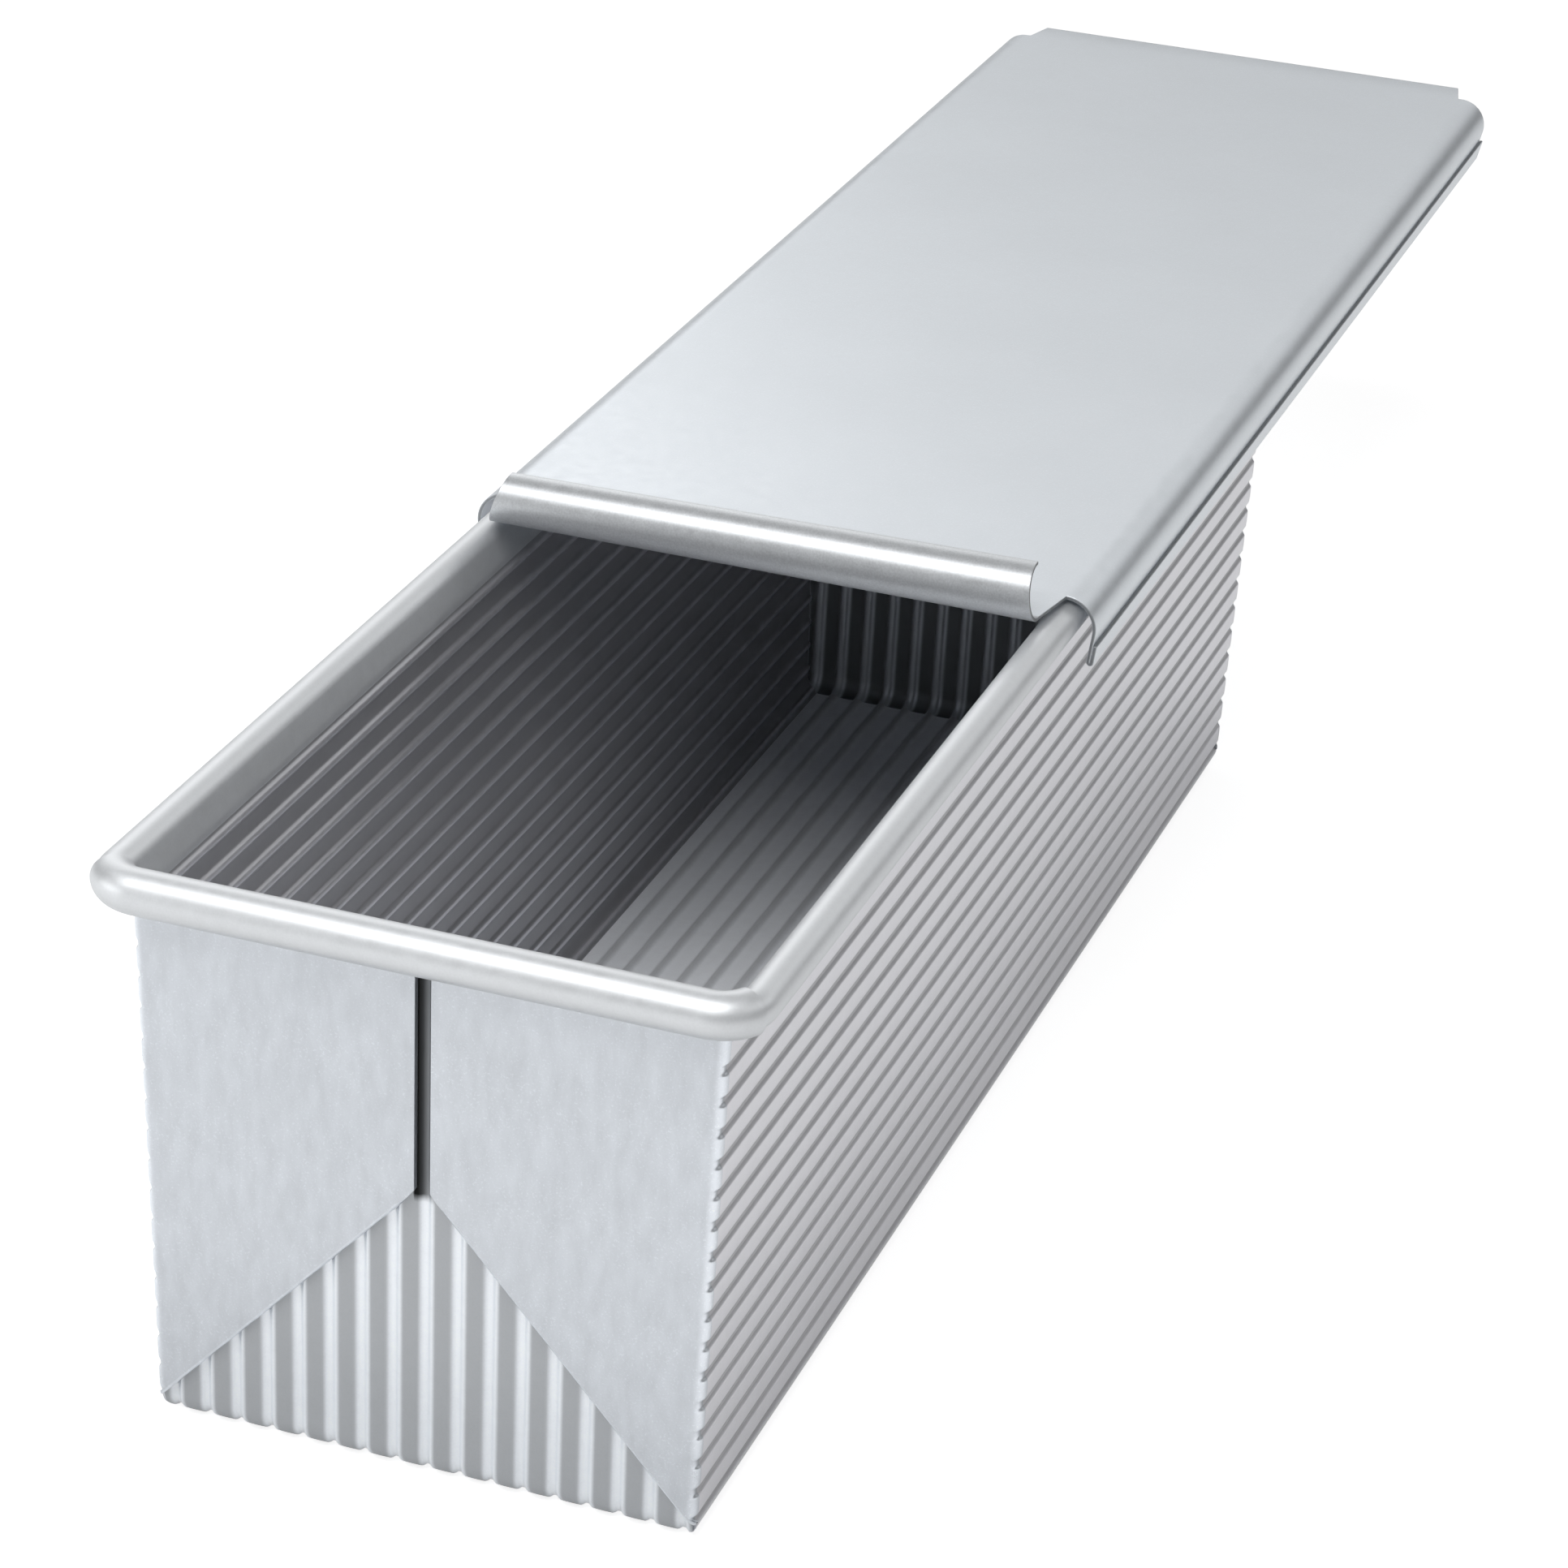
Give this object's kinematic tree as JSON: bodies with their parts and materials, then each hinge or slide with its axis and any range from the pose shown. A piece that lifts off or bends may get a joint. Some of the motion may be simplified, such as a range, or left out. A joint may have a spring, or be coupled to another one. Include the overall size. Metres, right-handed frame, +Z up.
{
  "type": "pullman loaf pan",
  "caption": "Long straight-sided loaf pan of ribbed sheet steel with folded corner gussets and a wired rim, closed by a sliding lid with a rolled pull lip.",
  "frame": {"origin": "middle of the pan floor's underside, on the plane of the rib crests that the pan stands on", "axes": "+Z up, +X to the pan's right, +Y from the front end towards the back, where the lid slides off"},
  "size_m": [0.1246, 0.5195, 0.1179],
  "materials": {
    "floor_sheet": "satin aluminised steel with pressed grooves",
    "side_sheet": "satin aluminised steel with pressed grooves",
    "end_sheet": "satin aluminised steel with pressed grooves",
    "gusset_sheet": "satin spangled aluminised steel, plain",
    "rim_sheet": "aluminised steel polished by rolling",
    "rim_wire": "drawn steel wire",
    "lid_sheet": "satin spangled aluminised steel, plain",
    "lid_edge_sheet": "aluminised steel drawn smooth by folding",
    "lip_sheet": "aluminised steel with a speckled satin coat"
  },
  "bodies": {
    "pan": {"pan_floor": "floor_sheet", "left_side_wall": "side_sheet", "right_side_wall": "side_sheet", "front_end_wall": "end_sheet", "back_end_wall": "end_sheet", "front_left_gusset": "gusset_sheet", "front_right_gusset": "gusset_sheet", "back_left_gusset": "gusset_sheet", "back_right_gusset": "gusset_sheet", "left_rim_roll": "rim_sheet", "right_rim_roll": "rim_sheet", "front_rim_roll": "rim_sheet", "back_rim_roll": "rim_sheet", "rim_wire": "rim_wire"},
    "lid": {"lid_plate": "lid_sheet", "lid_left_shoulder": "lid_edge_sheet", "lid_right_shoulder": "lid_edge_sheet", "lid_left_flange": "lid_edge_sheet", "lid_right_flange": "lid_edge_sheet", "lid_left_hem": "lid_edge_sheet", "lid_right_hem": "lid_edge_sheet", "lid_pull_lip": "lip_sheet", "lid_stop_tab": "lid_sheet"}
  },
  "joints": [
    {"name": "lid_slide", "type": "slide", "parent": "pan", "child": "lid", "axis": [0, 1, 0], "range_m": [-0.167, 0.2]}
  ]
}
